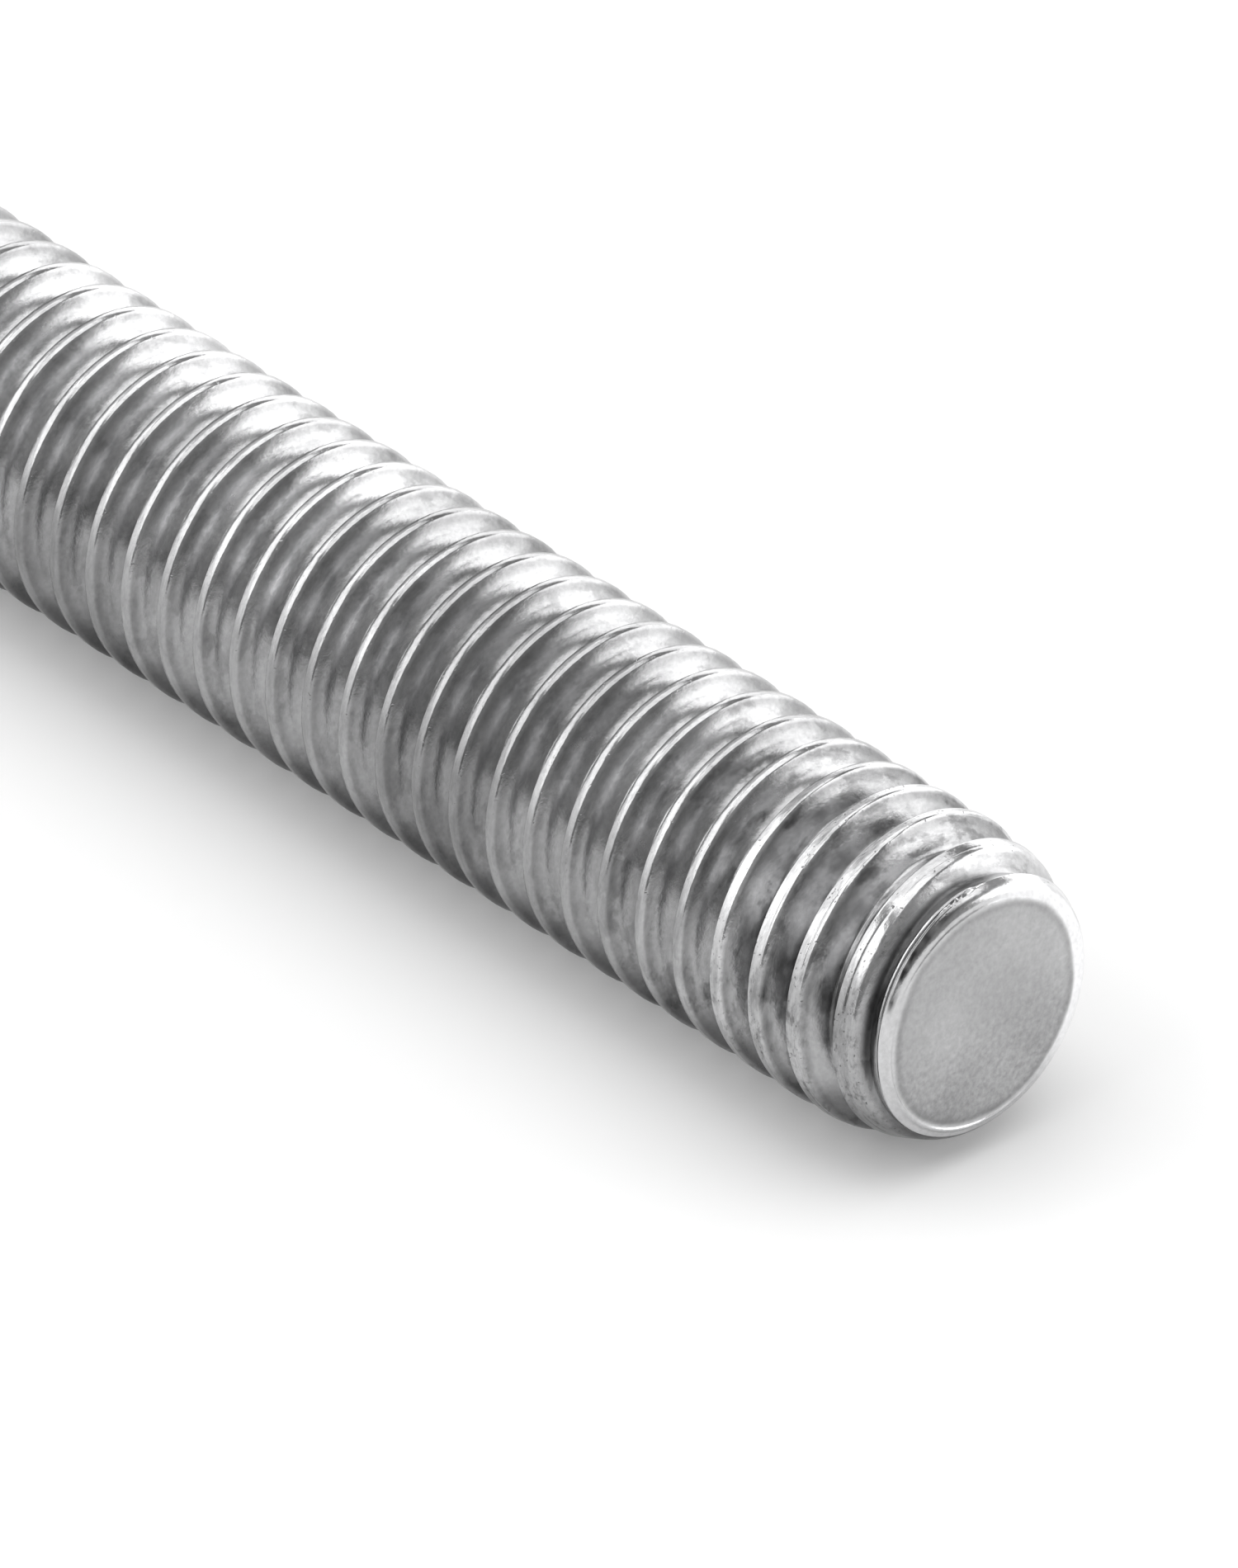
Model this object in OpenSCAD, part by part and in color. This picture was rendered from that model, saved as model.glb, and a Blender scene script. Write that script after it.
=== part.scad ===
// Fully threaded steel rod with a right-hand thread, lying on its side.
// It runs along X and touches the plane Z = 0 under the middle of its length.

/* [Rod] */
// Length over the two flat ends
rod_len = 60; // [40:1:60]
// Diameter over the crests of the thread
crest_d = 5.9; // [5.7:0.02:6.1]

/* [Thread] */
// Distance along the rod from one turn to the next
pitch = 1; // [0.96:0.02:1.2]
// Angle between the two flanks of the groove
groove_angle = 60; // [56:1:66]
// Width of the flat left on the crest
crest_flat = 0.18; // [0.12:0.01:0.22]
// Width of the flat at the bottom of the groove
root_flat = 0.17; // [0.14:0.01:0.24]
// How far the crest is moved along the rod, as a share of one turn
thread_shift = 0.69; // [0:0.01:1]

/* [Ends] */
// How far the edge of the flat disc lies inside the crests
disc_inset = 0.88; // [0.7:0.02:1]
// Radius of the round edge of the disc
rim_r = 0.5; // [0.4:0.02:0.6]
// Radius of the long curve that runs from the rim up to the crests
crown_r = 5.95; // [5:0.05:8]

/* [Hidden] */

// Flat sides to one turn, one of which lies underneath
SIDES = 24;
// The flat sides touch the true circle, so the corners stand a little outside it
CORNER_FIT = 1 / cos(180 / SIDES);
// The turned shape clears the corners by this much between the two ends
CORNER_CLEAR = 0.01;
// Straight steps that make up the two curves of an end
RIM_STEPS = 5;
CROWN_STEPS = 4;

crest_r = crest_d / 2;
disc_r = crest_r - disc_inset;

// The two flanks share what the two flats leave of the pitch
flank_run = (pitch - crest_flat - root_flat) / 2;
root_r = crest_r - flank_run / tan(groove_angle / 2);

// Section of one turn: distance along the rod and radius
SECTION = [
    [0, root_r],
    [root_flat, root_r],
    [root_flat + flank_run, crest_r],
    [root_flat + flank_run + crest_flat, crest_r]
];
BANDS = len(SECTION);

// From the start of the section to the middle of the crest
crest_lead = root_flat + flank_run + crest_flat / 2;

// The helical bar is cut to length later, so it runs past both ends of the rod
OVERRUN = 0.1;
// Stations of the helix are counted from the end at +X, and each end takes one more turn
first = floor(SIDES * ((crest_lead - rod_len - OVERRUN) / pitch - thread_shift - 1));
last = ceil(SIDES * ((crest_lead + OVERRUN) / pitch - thread_shift));

// The rim and the crown meet where both have this slope
top_r = crest_r * CORNER_FIT + CORNER_CLEAR;
meet_angle = acos((crown_r + disc_r - top_r) / (crown_r - rim_r));
// Distance from the end face to the place where the crown begins
crown_len = rim_r + (crown_r - rim_r) * sin(meet_angle);

// Place along the rod where the section starts, at station i of the helix
function station_x(i) = rod_len / 2 + pitch * (thread_shift + i / SIDES) - crest_lead;

// One corner of the bar: station of the helix and point of the section
function thread_point(i, k) =
    let (a = (i + 0.5) * 360 / SIDES, r = SECTION[k][1] * CORNER_FIT)
    [station_x(i) + SECTION[k][0], r * cos(a), r * sin(a)];

// Solid helical sweep of the section, closed by a hub on the axis at either end
module helical_bar() {
    corners = [for (i = [first:last + SIDES], k = [0:BANDS - 1]) thread_point(i, k)];
    hubs = [for (i = [first, last]) [station_x(i + SIDES / 2), 0, 0]];
    first_hub = len(corners);
    last_hub = first_hub + 1;
    // The point after the last of a section is the first of the next turn
    function at(i, k) = k < BANDS ? (i - first) * BANDS + k : at(i + SIDES, 0);
    sides = [for (i = [first:last - 1], k = [0:BANDS - 1])
        each [
            [at(i, k), at(i, k + 1), at(i + 1, k + 1)],
            [at(i, k), at(i + 1, k + 1), at(i + 1, k)]
        ]
    ];
    first_cap = [for (i = [first:first + SIDES - 1]) [first_hub, at(i, 0), at(i + 1, 0)]];
    first_step = [for (k = [0:BANDS - 1]) [first_hub, at(first, k + 1), at(first, k)]];
    last_cap = [for (i = [last:last + SIDES - 1]) [last_hub, at(i + 1, 0), at(i, 0)]];
    last_step = [for (k = [0:BANDS - 1]) [last_hub, at(last, k), at(last, k + 1)]];
    polyhedron(
        points = concat(corners, hubs),
        faces = concat(sides, first_cap, first_step, last_cap, last_step),
        convexity = 6
    );
}

// Half outline of one end: disc edge, rim and crown, as radius and distance from the disc
function end_curve() = concat(
    [for (i = [0:RIM_STEPS])
        let (a = 90 - (90 - meet_angle) * i / RIM_STEPS)
        [disc_r + rim_r * cos(a), rim_r * (1 - sin(a))]],
    [for (i = [1:CROWN_STEPS])
        let (a = meet_angle * (1 - i / CROWN_STEPS))
        [top_r - crown_r * (1 - cos(a)), crown_len - crown_r * sin(a)]]
);

// Turned shape that the ends are cut to
module turned_shape() {
    half = [for (p = end_curve()) [p[0], rod_len / 2 - p[1]]];
    other = [for (i = [len(half) - 1:-1:0]) [half[i][0], -half[i][1]]];
    rotate([0, 90, 0])
        rotate_extrude($fn = 2 * SIDES)
            polygon(concat([[0, -rod_len / 2], [0, rod_len / 2]], half, other));
}

module threaded_rod() {
    color([0.72, 0.72, 0.73])
        translate([0, 0, crest_r])
            intersection() {
                helical_bar();
                turned_shape();
            }
}

threaded_rod();
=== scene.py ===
import math

import bmesh
import bpy
from mathutils import Matrix, Vector, noise


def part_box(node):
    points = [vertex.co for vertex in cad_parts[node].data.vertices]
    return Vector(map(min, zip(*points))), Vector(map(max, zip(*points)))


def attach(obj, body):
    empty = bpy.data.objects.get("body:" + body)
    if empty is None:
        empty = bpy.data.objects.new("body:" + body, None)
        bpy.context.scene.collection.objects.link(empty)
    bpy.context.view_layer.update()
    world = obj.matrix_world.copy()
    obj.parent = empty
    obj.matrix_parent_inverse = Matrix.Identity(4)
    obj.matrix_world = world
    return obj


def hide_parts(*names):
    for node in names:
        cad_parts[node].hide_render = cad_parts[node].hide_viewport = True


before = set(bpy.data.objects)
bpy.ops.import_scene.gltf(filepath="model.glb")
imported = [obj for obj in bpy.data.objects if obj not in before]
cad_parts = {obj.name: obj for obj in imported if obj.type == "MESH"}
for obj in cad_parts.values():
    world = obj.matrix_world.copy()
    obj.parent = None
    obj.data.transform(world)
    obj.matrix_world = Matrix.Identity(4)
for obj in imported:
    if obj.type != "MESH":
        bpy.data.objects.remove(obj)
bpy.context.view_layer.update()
rodLow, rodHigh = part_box("threaded_rod")
toMetres = 0.001
print("frame loaded")


# the rod itself, in millimetres and degrees; its length and diameter come from the frame
rod = {
    "pitch": 1.0,              # one turn along the rod
    "crestFlat": 0.18,         # width of the crest
    "grooveDepth": 0.563,
    "grooveAngle": 60,         # between the two flanks
    "crestLead": 0.652,        # where the crest starts at the near end, in turns
    "crownRadius": 5.95,       # long curve that brings the crests down at an end
    "crownLength": 2.59,
    "crownClear": 0.0355,      # the curve starts this much above the crests
    "rimRadius": 0.3,          # small round between that curve and the end face
    "rimLength": 0.26,         # where the small round starts, from the end
    "coneTilt": 15,            # slope of the band round the flat disc
    "softCrest": 0.03,         # rounding of the edges of the crest
    "softRoot": 0.05,          # and of the bottom of the groove
    "sectionSteps": (0.075, 0.105, 0.26, 0.42, 0.5),  # points of a turn, from the crest
    "segments": 64,            # round the rod
    "nearRefine": 4.2,         # how far the finer mesh goes from the near end
    "farRefine": 2.8,          # and from the far end
}

# what rolling and handling have left on it, in millimetres and degrees; pairs and sets of
# four are distances from the end, between which something comes or goes
wear = {
    "spread": 0.085,           # widening of the crests towards an end
    "spreadStart": (5.4, 1.9),
    "spreadEnd": (0.7, 1.9),   # it is half as much right at the end
    "wideAngle": 200,          # side on which they are widest
    "narrow": 0.03,            # and on the other side they are this much narrower
    "narrowStart": (6.0, 4.0),
    "lean": 0.12,              # the last groove is wider by this much
    "leanStart": (1.7, 0.9),
    "seamDepth": 0.014,        # fold line along the last crests
    "seamWidth": 0.013,
    "seamPlace": 0.085,
    "seamReach": (0.4, 0.8, 2.4, 3.6),
    "bead": 0.06,              # raised edge of the disc, most on one side
    "beadPlace": 0.12,         # how far it lies outside the edge of the flat part
    "beadWidth": 0.045,
    "beadAngle": 232,
    "recess": 0.03,            # how far the disc lies behind the end
}

# the edge where the last groove breaks out through the rounded end; sets of four say where
# something starts, is full, starts to fade and is gone: angles, or distances from the edge
lip = {
    "burr": 0.032,             # height of the raised edge
    "burrWidth": 0.02,
    "burrSides": (84, 100, 150, 180),
    "burrElsewhere": 0.2,      # share of it that is left on the other sides
    "chips": 4,                # strength of the notches in it
    "chipSides": (84, 90, 103, 112),
    "fold": 0.1,               # a second, lower edge lies this far behind it
    "foldWidth": 0.04,
    "foldDrop": 0.03,
    "crease": 0.042,           # painted shade: a dark line in the crease between the two
    "creaseWidth": 0.016,
    "creaseSides": (35, 50, 185, 205),
    "grooveShade": (-0.19, -0.13, -0.045, -0.025),
    "grooveShadeSides": (94, 108, 148, 162),
}

pitch = rod["pitch"]
halfCrest = rod["crestFlat"] / 2
halfLength = (rodHigh.x - rodLow.x) / 2 / toMetres
crestRadius = (rodHigh.z - rodLow.z) / 2 / toMetres
axisHeight = (rodHigh.z + rodLow.z) / 2
rootRadius = crestRadius - rod["grooveDepth"]
flankSlope = 1 / math.tan(math.radians(rod["grooveAngle"] / 2))


def crownHeight(inside):
    reach = max(rod["crownLength"] - inside, 0)
    centre = crestRadius + rod["crownClear"] - rod["crownRadius"]
    return centre + math.sqrt(rod["crownRadius"] ** 2 - reach ** 2)


# the small round and the sloping band are set out inwards from the crown
coneTilt = math.radians(rod["coneTilt"])
crownTilt = math.pi / 2 - math.asin((rod["crownLength"] - rod["rimLength"]) / rod["crownRadius"])
rimRise = rod["rimRadius"] * (math.sin(crownTilt) - math.sin(coneTilt))
coneRadius = crownHeight(rod["rimLength"]) - rimRise
coneDrop = rod["rimLength"] - rod["rimRadius"] * (math.cos(coneTilt) - math.cos(crownTilt))
discRadius = coneRadius - (coneDrop - wear["recess"]) / math.tan(coneTilt)
beadRadius = discRadius + wear["beadPlace"]
# the rolled chain runs past the end: this much of it becomes the band, and the rest the disc
coneSpan = 0.24
discSpan = 0.9


def smoothStep(low, high, value):
    t = min(max((value - low) / (high - low), 0.0), 1.0)
    return t * t * (3 - 2 * t)


def softMin(a, b, width):
    h = max(width - abs(a - b), 0.0) / width
    return min(a, b) - h * h * width / 4


def hill(value, width):
    return math.exp(-(value / width) ** 2)


def between(value, start, full, fading, end):
    return smoothStep(start, full, value) * smoothStep(end, fading, value)


# outline of an end: how deep and how far from the axis a point lies, and which way it faces
def endOutline(place):
    if place >= rod["rimLength"]:
        return place, crownHeight(place), math.pi / 2
    if place >= 0:
        tilt = crownTilt + (coneTilt - crownTilt) * (1 - place / rod["rimLength"])
        inside = coneDrop + rod["rimRadius"] * (math.cos(coneTilt) - math.cos(tilt))
        return inside, coneRadius + rod["rimRadius"] * (math.sin(tilt) - math.sin(coneTilt)), tilt
    if place >= -coneSpan:
        share = -place / coneSpan
        inside = coneDrop + (wear["recess"] - coneDrop) * share
        return inside, coneRadius + (discRadius - coneRadius) * share, coneTilt
    share = min((-place - coneSpan) / (discSpan - coneSpan), 1.0)
    return wear["recess"], discRadius * (1 - share ** 1.25), 0.0


# radius of the thread beside the middle of a crest, positive towards the near end
def threadHeight(off, inside, towardsEnd, angle):
    side = off * towardsEnd
    widen = wear["spread"] * smoothStep(*wear["spreadStart"], inside)
    widen *= 0.5 + 0.5 * smoothStep(*wear["spreadEnd"], inside)
    wide = smoothStep(-0.4, 0.5, math.cos(angle - math.radians(wear["wideAngle"])))
    narrow = wear["narrow"] * (1 - wide) * smoothStep(*wear["narrowStart"], inside)
    widen = widen * (0.1 + 0.9 * wide) - narrow
    lean = wear["lean"] * smoothStep(*wear["leanStart"], inside)
    half = halfCrest + widen if side > 0 else halfCrest - lean
    flank = crestRadius - flankSlope * (abs(off) - half)
    top = softMin(flank, crestRadius, rod["softCrest"])
    return -softMin(-top, -rootRadius, rod["softRoot"])


def ripple(x, angle, fine, around, seed):
    return noise.noise(Vector((x * fine, around * math.cos(angle) + seed, around * math.sin(angle))))


def crestOffset(x, angle):
    turns = (x - halfLength) / pitch - angle / (2 * math.pi) - rod["crestLead"]
    return (turns - round(turns)) * pitch


lipPlaces = {}


# where the last groove meets the rounded end: place on the outline, and radius
def findLip(angle, towardsEnd):
    key = (round(angle, 4), towardsEnd)
    if key not in lipPlaces:
        place = 0.0
        while place < 0.5:
            inside, envelope = endOutline(place)[:2]
            off = crestOffset(towardsEnd * (halfLength - inside), angle)
            if off * towardsEnd < 0 and threadHeight(off, inside, towardsEnd, angle) < envelope:
                break
            place += 0.002
        lipPlaces[key] = place, envelope
    return lipPlaces[key]


# the groove opens on the rounded end only where the lip was found between these places
def hasLip(lipPlace):
    return 0.01 < lipPlace < 0.49


# edge and fold beside the lip: how far they stand out, how bright they are, and the painted shade
# beside them with its dark specks
def lipWear(x, angle, beyond):
    degrees = math.degrees(angle) % 360
    along = lip["burrElsewhere"] + between(degrees, *lip["burrSides"])
    chip = between(degrees, *lip["chipSides"]) * ripple(x, angle, 12.0, 26, 7)
    nearEdge = beyond + 0.012
    edge = lip["burr"] * hill(nearEdge, lip["burrWidth"]) * along * (1 + lip["chips"] * chip)
    second = hill(beyond - lip["fold"], lip["foldWidth"]) * min(along, 1.0)
    burnish = max(second, hill(nearEdge, 0.03))
    # painted shade: a dark line in the crease, and a dark band in the groove beside the lip with dark
    # specks in it
    lipShadeAndSpecks = hill(beyond - lip["crease"], lip["creaseWidth"]) * between(degrees, *lip["creaseSides"])
    grooveShade = 0.62 + ripple(x, angle, 3.0, 9, 3)
    spots = smoothStep(0.0, 0.25, ripple(x, angle, 0.5, 10, 11)) * hill(beyond + 0.085, 0.03)
    lipShadeAndSpecks += between(beyond, *lip["grooveShade"]) * (grooveShade + spots) * between(degrees, *lip["grooveShadeSides"])
    return edge, second, burnish, min(max(lipShadeAndSpecks, 0.0), 1.0)


# moves a corner of the rolled chain to where it belongs; also says how bright it is and how much
# painted shade it gets
def placeCorner(x, angle):
    towardsEnd = 1 if x > 0 else -1
    place = halfLength - abs(x)
    inside, envelope, tilt = endOutline(place)
    x = towardsEnd * (halfLength - inside)
    if place < 0:
        lobe = 0.5 + 0.5 * math.cos(angle - math.radians(wear["beadAngle"]))
        rise = wear["bead"] * (0.12 + 0.88 * lobe ** 3)
        bead = rise * hill(envelope - beadRadius, wear["beadWidth"])
        return towardsEnd * (halfLength - inside + bead), envelope, 1.0, 0.0

    off = crestOffset(x, angle)
    thread = threadHeight(off, inside, towardsEnd, angle)
    if inside > rod["crownLength"] + 1.2:
        return x, thread, 0.0, 0.0

    top = crestRadius
    radius = thread
    if inside < rod["crownLength"]:
        top = min(crestRadius, envelope)
        radius = softMin(thread, envelope, rod["softCrest"])
    burnish = smoothStep(0.07, 0.02, top - radius)
    broken = max(0.6 + 0.9 * ripple(x, angle, 2.0, 9, 9), 0)
    wobble = 0.01 * ripple(x, angle, 0.8, 3, 5)
    seam = hill(off * towardsEnd - wear["seamPlace"] - wobble, wear["seamWidth"])
    radius -= wear["seamDepth"] * between(inside, *wear["seamReach"]) * broken * seam

    lipShadeAndSpecks = 0.0
    lipPlace, lipRadius = findLip(angle, towardsEnd)
    beyond = place - lipPlace + 0.012 * ripple(x, angle, 1.0, 8, 2)
    if hasLip(lipPlace) and -0.25 < beyond < 0.2:
        edge, second, shine, lipShadeAndSpecks = lipWear(x, angle, beyond)
        x += towardsEnd * edge * math.cos(tilt)
        radius += edge * math.sin(tilt)
        radius += min(second * 1.4, 1.0) * max(lipRadius - lip["foldDrop"] - radius, 0)
        burnish = max(burnish, shine)
    return x, radius, burnish, lipShadeAndSpecks


# splits the edges between wanted corners, or only those that run along the rod
def refine(bm, cuts, wanted, alongOnly=False):
    chosen = []
    for edge in bm.edges:
        a, b = edge.verts
        if not (wanted(a.co) and wanted(b.co)):
            continue
        if alongOnly and abs(a.co.y * b.co.z - a.co.z * b.co.y) > 0.02:
            continue
        chosen.append(edge)
    bmesh.ops.subdivide_edges(bm, edges=chosen, cuts=cuts, use_grid_fill=True)


def nearLip(co):
    place = halfLength - co.x
    lipPlace = findLip(math.atan2(co.z, co.y), 1)[0]
    return hasLip(lipPlace) and -0.1 < place - lipPlace < 0.18


def chipped(co):
    return nearLip(co) and 82 < math.degrees(math.atan2(co.z, co.y)) < 114


def makeRod():
    bm = bmesh.new()
    spare = discSpan + 0.5
    before = math.ceil(2 * halfLength / pitch + rod["crestLead"] + spare)
    turns = math.ceil(before - rod["crestLead"] + spare)
    start = halfLength + (rod["crestLead"] - before) * pitch
    steps = list(rod["sectionSteps"])
    section = [-step for step in reversed(steps)] + [0.0] + steps
    corners = [bm.verts.new((start + step, crestRadius, 0)) for step in section]
    edges = [bm.edges.new(pair) for pair in zip(corners, corners[1:])]
    bmesh.ops.spin(bm, geom=corners + edges, cent=(0, 0, 0), axis=(1, 0, 0),
                   dvec=(pitch / rod["segments"], 0, 0), angle=2 * math.pi,
                   steps=rod["segments"], use_merge=False, use_duplicate=False)
    oneTurn = bm.verts[:] + bm.edges[:] + bm.faces[:]
    for turn in range(1, turns):
        copy = bmesh.ops.duplicate(bm, geom=oneTurn)["geom"]
        copied = [part for part in copy if isinstance(part, bmesh.types.BMVert)]
        bmesh.ops.translate(bm, verts=copied, vec=(turn * pitch, 0, 0))
    bmesh.ops.remove_doubles(bm, verts=bm.verts, dist=0.003)
    print("thread rolled:", len(bm.faces), "faces")

    nearStart = halfLength - rod["nearRefine"]
    farStart = rod["farRefine"] - halfLength
    refine(bm, 1, lambda co: co.x > nearStart)
    refine(bm, 1, lambda co: co.x < farStart)
    refine(bm, 1, lambda co: co.x > nearStart + 0.1, alongOnly=True)
    refine(bm, 2, nearLip, alongOnly=True)
    refine(bm, 2, chipped)
    refine(bm, 1, lambda co: 0.03 > halfLength - co.x > -coneSpan - 0.02, alongOnly=True)
    polish = bm.verts.layers.float.new("polish")
    lipShadeAndSpecks = bm.verts.layers.float.new("lipShadeAndSpecks")
    for corner in bm.verts:
        angle = math.atan2(corner.co.z, corner.co.y)
        x, radius, corner[polish], corner[lipShadeAndSpecks] = placeCorner(corner.co.x, angle)
        corner.co = Vector((x, radius * math.cos(angle), radius * math.sin(angle)))
    bmesh.ops.remove_doubles(bm, verts=bm.verts, dist=0.0008)  # closes the middle of each disc
    bmesh.ops.dissolve_degenerate(bm, dist=0.0004, edges=bm.edges)
    bmesh.ops.scale(bm, vec=(toMetres, toMetres, toMetres), verts=bm.verts)
    bmesh.ops.translate(bm, verts=bm.verts, vec=(0, 0, axisHeight))
    bmesh.ops.recalc_face_normals(bm, faces=bm.faces)
    for face in bm.faces:
        face.smooth = True
    openEdges = sum(edge.is_boundary for edge in bm.edges)
    mesh = bpy.data.meshes.new("zinc_rod")
    bm.to_mesh(mesh)
    bm.free()
    triangles = sum(len(polygon.vertices) - 2 for polygon in mesh.polygons)
    print("rod shaped:", triangles, "triangles,", openEdges, "open edges")
    piece = bpy.data.objects.new("zinc_rod", mesh)
    bpy.context.scene.collection.objects.link(piece)
    return piece


# wraps a socket, so that shader maths reads as plain expressions
class Wire:
    def __init__(self, material, socket):
        self.material = material
        self.socket = socket

    def join(self, operation, first, second):
        return self.material.add("Math", {"operation": operation}, {0: first, 1: second})

    def __add__(self, other):
        return self.join("ADD", self, other)

    def __radd__(self, other):
        return self.join("ADD", other, self)

    def __sub__(self, other):
        return self.join("SUBTRACT", self, other)

    def __rsub__(self, other):
        return self.join("SUBTRACT", other, self)

    def __mul__(self, other):
        return self.join("MULTIPLY", self, other)

    def __rmul__(self, other):
        return self.join("MULTIPLY", other, self)


class Finish:
    def __init__(self, name):
        self.result = bpy.data.materials.new(name)
        self.result.use_nodes = True
        self.tree = self.result.node_tree
        self.tree.nodes.clear()

    # adds a node: its settings first, then the values or wires of its sockets
    def add(self, kind, settings=None, sockets=None, output=0):
        node = self.tree.nodes.new("ShaderNode" + kind)
        for key, value in (settings or {}).items():
            setattr(node, key, value)
        for key, value in (sockets or {}).items():
            if isinstance(value, Wire):
                self.tree.links.new(value.socket, node.inputs[key])
            else:
                node.inputs[key].default_value = value
        return Wire(self, node.outputs[output])

    def band(self, value, low, high):
        return self.add("MapRange", {"interpolation_type": "SMOOTHSTEP"},
                        {"Value": value, "From Min": low, "From Max": high})

    def noise(self, place, along, around, detail):
        spot = self.add("VectorMath", {"operation": "MULTIPLY"}, {0: place, 1: (along, around, around)})
        return self.add("TexNoise", None,
                        {"Vector": spot, "Scale": 1.0, "Detail": detail, "Roughness": 0.62})

    def finish(self, shader):
        end = self.tree.nodes.new("ShaderNodeOutputMaterial")
        self.tree.links.new(shader.socket, end.inputs["Surface"])
        return self.result


# tones and gloss of the plating
plating = {
    "flankTone": 0.5,
    "crestTone": 0.49,
    "polishTone": 0.69,        # on the last crests, rubbed bright
    "rimTone": 0.555,
    "rimHighlight": 0.335,         # painted highlight added on the back and upper side of the rim
    "faceTone": 0.488,
    "flankRoughness": 0.24,
    "crestRoughness": 0.17,
    "shoulderDark": 0.3,       # darkening of the flank right beside the crest
    "grooveDarkening": 0.1,         # darkening at the bottom of the groove
    "lastGrooveShade": 0.72,          # painted shade at the bottom of the last groove of an end, more on one upper side
    "stripDarkening": 0.5,          # and low on one side of the last few
    "undersideShade": 0.36,         # painted shade: the low side of the rod is darker
    "beneathShade": 0.45,           # and painted shade, darker still right below
    "clouds": 1.3,             # strength of the patches in the plating
    "drift": 0.36,             # slow change along the rod
    "specks": 0.6,             # tiny dark pits on the last crests
    "rust": 0.5,               # flecks on the low side of the last crests
    "discGrain": 0.3,
    "discEdge": 0.18,          # painted shade: a darker ring round the disc
    "lipShade": 0.85,           # painted shade in the crease and in the groove beside the edge of the last groove, with dark specks
}

# its noise patterns: how fine they are along and around the rod, and their detail
patterns = {
    "cloud": (2.6, 1.2, 8),
    "smear": (9.0, 1.1, 4),
    "stain": (2.8, 0.9, 7),
    "bank": (0.9, 0.4, 3),
    "drift": (0.26, 0.15, 2),
    "grain": (20, 9, 2),
    "pit": (16, 12, 1),
    "rust": (8, 4, 6),
    "mottle": (9, 9, 7),
}


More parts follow.
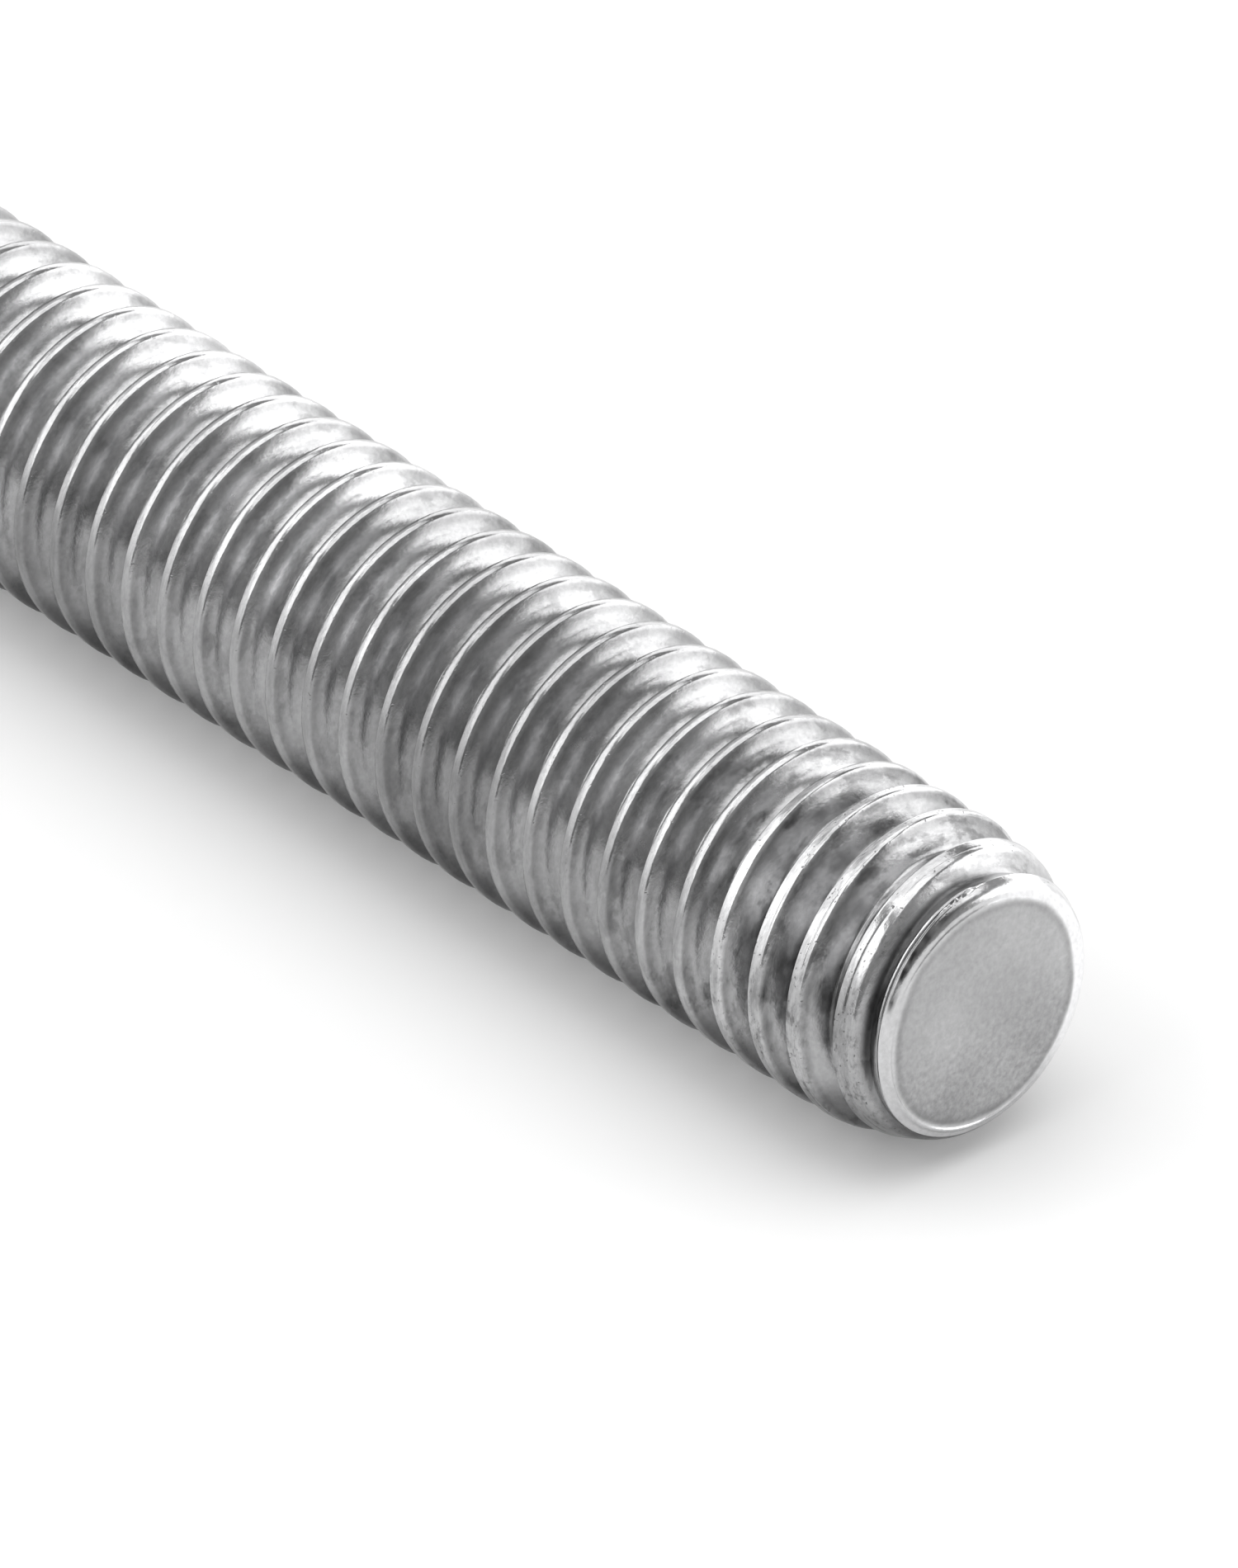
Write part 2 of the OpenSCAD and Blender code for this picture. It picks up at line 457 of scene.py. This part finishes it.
def zincFinish():
    zinc = Finish("zinc_plating")
    place = zinc.add("TexCoord", output="Object")
    middle = (0, 0, -axisHeight / toMetres)
    spot = zinc.add("Mapping", {"vector_type": "POINT"},
                    {"Vector": place, "Location": middle, "Scale": (1000, 1000, 1000)})
    cross = zinc.add("VectorMath", {"operation": "MULTIPLY"}, {0: spot, 1: (0, 1, 1)})
    radius = zinc.add("VectorMath", {"operation": "LENGTH"}, {0: cross}, "Value")
    along = zinc.add("VectorMath", {"operation": "DOT_PRODUCT"}, {0: spot, 1: (1, 0, 0)}, "Value")
    across = zinc.add("VectorMath", {"operation": "DOT_PRODUCT"}, {0: spot, 1: (0, 1, 0)}, "Value")
    height = zinc.add("VectorMath", {"operation": "DOT_PRODUCT"}, {0: spot, 1: (0, 0, 1)}, "Value")
    polish = zinc.add("Attribute", {"attribute_name": "polish"}, output="Fac")
    lipShadeAndSpecks = zinc.add("Attribute", {"attribute_name": "lipShadeAndSpecks"}, output="Fac")
    depth = halfLength - zinc.add("Math", {"operation": "ABSOLUTE"}, {0: along})

    wave = {name: zinc.noise(spot, *values) for name, values in patterns.items()}
    cloud = wave["cloud"] - 0.5
    smear = wave["smear"] - 0.5
    bank = wave["bank"] - 0.5
    grain = wave["grain"] - 0.5
    mottle = wave["mottle"] - 0.5
    stain = zinc.band(wave["stain"], 0.5, 0.57)
    drift = zinc.band(wave["drift"], 0.36, 0.62) - 0.6

    # where each part of the thread and of the end is
    outer = zinc.band(depth, 0.2, 0.14)
    thread = zinc.band(depth, 0.2, 0.3)
    flat = zinc.band(depth, 0.1, 0.08)
    # the noise makes the edge of the disc uneven; the height term carries the darker disc tone further
    # out over the top of the band, a painted shade there
    shadedUnevenEdge = radius + bank * 0.2 - zinc.band(height, 0.5, 1.8) * 0.1
    face = flat * zinc.band(shadedUnevenEdge, discRadius + 0.05, discRadius - 0.09)
    rim = outer * (1 - face)
    # painted shade in a ring where the disc meets the band
    shadedRing = zinc.band(shadedUnevenEdge, discRadius - 0.2, discRadius - 0.06)
    shadedRing = shadedRing * zinc.band(shadedUnevenEdge, discRadius + 0.06, discRadius - 0.04)
    top = zinc.band(radius, crestRadius - 0.08, crestRadius - 0.02)
    crest = zinc.add("Math", {"operation": "MAXIMUM"}, {0: top, 1: polish})
    shoulder = zinc.band(radius, crestRadius - 0.26, crestRadius - 0.1)
    shoulder = shoulder * (1 - crest) * zinc.band(depth, 0.3, 0.5)
    groove = zinc.band(radius, rootRadius + 0.16, rootRadius + 0.02) * thread * (1 - polish)
    # the low side and right below it, where shade is painted; the rust flecks also sit on the low side
    under = zinc.band(height, 0.6 * crestRadius, 0.26 * crestRadius)
    beneathShade = zinc.band(height, -0.3 * crestRadius, -0.55 * crestRadius)
    lower = zinc.band(height, 0.3 * crestRadius, -0.5 * crestRadius)
    upperLeft = zinc.band(height - across, 1.6, 3.2)
    strip = zinc.band(height, 1.7, 1.1) * zinc.band(height, -0.7, -0.1)
    strip = strip * zinc.band(across, 0.0, -1.0) * zinc.band(depth, 4.8, 3.2)
    # painted shade in the last groove, stronger on one upper side; it is also rougher there
    shadedLastGroove = groove * zinc.band(depth, 1.3, 0.9) * (0.2 + 0.8 * upperLeft)
    lastCrests = crest * (1 - rim) * zinc.band(depth, 5.5, 3.0)

    # thread, darker beside the crests, at the bottom of the grooves and in a strip on one side of the
    # last few, with painted shade in the last groove and on the low side
    shine = zinc.band(depth, 7.5, 3.5) * (plating["polishTone"] - plating["crestTone"])
    tone = plating["flankTone"] * (1 - crest) + crest * (plating["crestTone"] + shine)
    tone = tone * (1 - shoulder * plating["shoulderDark"]) * (1 - groove * plating["grooveDarkening"])
    tone = tone * (1 - shadedLastGroove * plating["lastGrooveShade"]) * (1 - groove * strip * plating["stripDarkening"])
    # painted shade on the low side and right below it
    tone = tone * (1 - under * plating["undersideShade"]) * (1 - beneathShade * plating["beneathShade"])

    # rim and disc
    # the rim's own tone, with a painted highlight on its back and upper side
    rimToneAndHighlight = plating["rimTone"] + zinc.band(across + height * 0.3, 0.4, 1.8) * plating["rimHighlight"]
    tone = tone * (1 - rim) + rim * rimToneAndHighlight
    # painted shade: the disc is darker towards the bottom; its grain is also stronger there
    disc = plating["faceTone"] * (1 - lower * 0.2) + mottle * plating["discGrain"] * (0.25 + lower)
    tone = tone * (1 - face) + face * disc
    # painted shade in a ring round the disc and beside the lip
    tone = tone * (1 - flat * shadedRing * plating["discEdge"]) * (1 - lipShadeAndSpecks * plating["lipShade"])

    # patches and streaks, weaker on the end and away from it
    patchy = (1 - face * 0.9) * (1 - rim * 0.8) * (1 - crest * 0.4)
    patchy = patchy * (0.5 + 0.5 * zinc.band(depth, 9.0, 3.0))
    patches = cloud * 1.2 + smear * 1.1 + bank * 1.0 - stain * 0.3 + 0.1
    patches = zinc.add("Math", {"operation": "SMOOTH_MIN"}, {0: patches, 1: 0.2, 2: 0.3})
    tone = tone * (1 + patches * plating["clouds"] * patchy)
    tone = tone * (1 + drift * plating["drift"] * (1 - rim)) * (1 + grain * 0.4)

    # specks and flecks on the last crests
    pit = zinc.band(wave["pit"], 0.66, 0.76) * (1 - outer)
    fleck = zinc.band(wave["rust"], 0.5, 0.68) * under * thread
    tone = tone * (1 - (pit * plating["specks"] + fleck * plating["rust"]) * lastCrests)

    color = zinc.add("CombineColor", None, {"Red": tone, "Green": tone, "Blue": tone * 1.01})
    gloss = plating["flankRoughness"] - crest * (plating["flankRoughness"] - plating["crestRoughness"])
    gloss = gloss + cloud * 0.2 + shadedLastGroove * 0.25
    relief = cloud * 0.012 * (1 - flat) + grain * 0.0012 - pit * crest * 0.003
    bump = zinc.add("Bump", None, {"Strength": 1.0, "Distance": toMetres, "Height": relief})
    metal = {"Metallic": 1.0, "Roughness": gloss, "Base Color": color, "Normal": bump}
    return zinc.finish(zinc.add("BsdfPrincipled", None, metal))


# the room, in metres
studio = {
    "floorSize": 3.0,
    "floorWhite": 0.12,        # share of the floor that is plain white to the camera
    "boxDistance": 0.7,
    "fill": 0.325,             # brightness of the white surroundings
}


def makeFloor():
    bm = bmesh.new()
    bmesh.ops.create_grid(bm, x_segments=1, y_segments=1, size=studio["floorSize"] / 2)
    bmesh.ops.translate(bm, verts=bm.verts, vec=(0, 0, rodLow.z))
    mesh = bpy.data.meshes.new("floor")
    bm.to_mesh(mesh)
    bm.free()
    floor = bpy.data.objects.new("floor", mesh)
    bpy.context.scene.collection.objects.link(floor)
    paper = Finish("white_paper")
    matt = paper.add("BsdfDiffuse", None, {"Color": (1.0, 1.0, 1.0, 1)})
    glow = paper.add("Emission", None, {"Color": (1.0, 1.0, 1.0, 1), "Strength": 1.0})
    toCamera = paper.add("LightPath", output="Is Camera Ray")
    seen = toCamera + paper.add("LightPath", output="Is Glossy Ray")
    share = seen * studio["floorWhite"]
    mesh.materials.append(paper.finish(paper.add("MixShader", None, {0: share, 1: matt, 2: glow})))


# soft boxes: direction of the middle and spread in degrees, and how bright they look
softboxes = {
    "backRight": (65, 13, 62, 34, 2.03),
    "backLeft": (119, 14, 48, 32, 1.62),
    "upperBack": (158, 42, 46, 30, 0.5),
    "leftCard": (-128, 42, 74, 38, 1.58),
    "lowCard": (-124, 10, 70, 24, 1.0),
    "overhead": (90, 80, 64, 56, 1.4),
}


def lightScene():
    world = bpy.data.worlds.new("studio")
    world.use_nodes = True
    background = world.node_tree.nodes["Background"]
    background.inputs["Color"].default_value = (1, 1, 1, 1)
    background.inputs["Strength"].default_value = studio["fill"]
    bpy.context.scene.world = world
    distance = studio["boxDistance"]
    target = Vector((rodHigh.x - 0.01, 0, axisHeight))
    for name, (azimuth, elevation, wide, high, glow) in softboxes.items():
        lamp = bpy.data.lights.new(name, "AREA")
        lamp.shape = "RECTANGLE"
        lamp.size = 2 * distance * math.tan(math.radians(wide / 2))
        lamp.size_y = 2 * distance * math.tan(math.radians(high / 2))
        lamp.energy = glow * math.pi * lamp.size * lamp.size_y
        turn = math.radians(azimuth)
        lift = math.radians(elevation)
        level = math.cos(lift)
        towards = Vector((math.cos(turn) * level, math.sin(turn) * level, math.sin(lift)))
        side = Vector((-math.sin(turn), math.cos(turn), 0))
        box = bpy.data.objects.new(name, lamp)
        box.matrix_world = Matrix((side, towards.cross(side), towards)).transposed().to_4x4()
        box.location = target + towards * distance
        box.visible_camera = False
        bpy.context.scene.collection.objects.link(box)


# where the photo was taken from: degrees, and offsets as shares of the crest radius
viewpoint = {
    "turn": 48.94,
    "tilt": 33.14,
    "left": 2.165,
    "above": 1.365,
    "away": 123.18,
    "lens": 479.75,
}


def setCamera():
    turn = math.radians(viewpoint["turn"])
    tilt = math.radians(viewpoint["tilt"])
    right = Vector((math.cos(turn), math.sin(turn), 0))
    ahead = Vector((-math.sin(turn) * math.cos(tilt), math.cos(turn) * math.cos(tilt), -math.sin(tilt)))
    up = right.cross(ahead)
    unit = crestRadius * toMetres
    data = bpy.data.cameras.new("camera")
    data.lens = viewpoint["lens"]
    data.sensor_width = 36
    data.clip_start = 0.01
    camera = bpy.data.objects.new("camera", data)
    camera.matrix_world = Matrix((right, up, -ahead)).transposed().to_4x4()
    offset = up * viewpoint["above"] - right * viewpoint["left"] - ahead * viewpoint["away"]
    camera.location = Vector((rodHigh.x, 0, axisHeight)) + offset * unit
    bpy.context.scene.collection.objects.link(camera)
    bpy.context.scene.camera = camera


setCamera()
piece = makeRod()
piece.data.materials.append(zincFinish())
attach(piece, "root")
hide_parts("threaded_rod")
makeFloor()
lightScene()
bpy.context.scene.view_settings.view_transform = "Standard"
print("scene lit")
